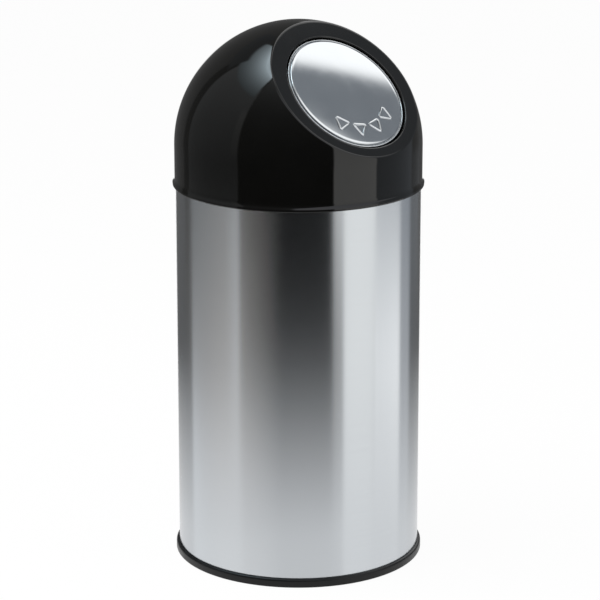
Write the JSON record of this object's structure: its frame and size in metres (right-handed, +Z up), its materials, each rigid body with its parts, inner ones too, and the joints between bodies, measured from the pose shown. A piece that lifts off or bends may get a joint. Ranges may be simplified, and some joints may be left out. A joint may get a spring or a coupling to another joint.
{
  "type": "dome top waste receptacle",
  "caption": "Tall round push bin: brushed steel drum on a black foot ring, with a lift-off black dome, a slanted sprung round flap and an inner liner with a wire bail.",
  "frame": {"origin": "centre of the foot ring's underside, on the floor", "axes": "+Z up along the drum's axis; the flap faces -Y and slants up; +X to the right of someone who faces the flap from the back of the bin"},
  "size_m": [0.34, 0.34, 0.74],
  "materials": {
    "brushed_stainless": "circumferentially brushed stainless sheet",
    "polished_stainless": "finely polished stainless sheet",
    "gloss_black": "gloss black enamel on steel",
    "satin_black": "satin black coat on steel",
    "black_plastic": "moulded black polypropylene, low sheen",
    "black_rubber": "matt rubber",
    "galvanised": "galvanised steel sheet with a fine spangle",
    "bright_wire": "bright drawn steel",
    "spring_steel": "zinc plated spring wire"
  },
  "bodies": {
    "bin": {"body_shell": "brushed_stainless", "bottom_pan": "galvanised", "foot_ring": "black_plastic"},
    "dome": {"dome_shell": "gloss_black", "dome_seat_ring": "black_plastic", "hinge_bracket_left": "satin_black", "hinge_bracket_right": "satin_black", "hinge_pin": "bright_wire", "pin_caps": "bright_wire", "return_spring_left": "spring_steel", "return_spring_right": "spring_steel"},
    "flap": {"flap_face": "polished_stainless", "flap_back": "satin_black", "flap_strap": "satin_black", "strap_rivets": "bright_wire", "stop_bumper": "black_rubber"},
    "liner": {"liner_shell": "galvanised", "liner_base": "galvanised", "liner_rim_wire": "bright_wire", "liner_ears": "galvanised", "ear_rivets": "bright_wire"},
    "bail": {"liner_bail": "bright_wire"}
  },
  "joints": [
    {"name": "dome_lift", "type": "slide", "parent": "bin", "child": "dome", "axis": [0, 0, 1], "range_m": [0, 0.75]},
    {"name": "flap_swing", "type": "hinge", "parent": "dome", "child": "flap", "pos_m": [0, -0.01228, 0.72196], "axis": [1, 0, 0], "range_deg": [0, 60], "stiffness_Nm_per_rad": 0.3, "springref_deg": -114.59, "deforming": ["return_spring_left", "return_spring_right"]},
    {"name": "liner_lift", "type": "slide", "parent": "bin", "child": "liner", "axis": [0, 0, 1], "range_m": [0, 0.501]},
    {"name": "bail_swing", "type": "hinge", "parent": "liner", "child": "bail", "pos_m": [0, 0, 0.49255], "axis": [1, 0, 0], "range_deg": [0, 90.1]}
  ],
  "couplings": [
    {"joint": "liner_lift", "follows": "dome_lift", "ratio": 0.66667},
    {"joint": "bail_swing", "follows": "dome_lift", "rad_per_m": 2.0944}
  ]
}
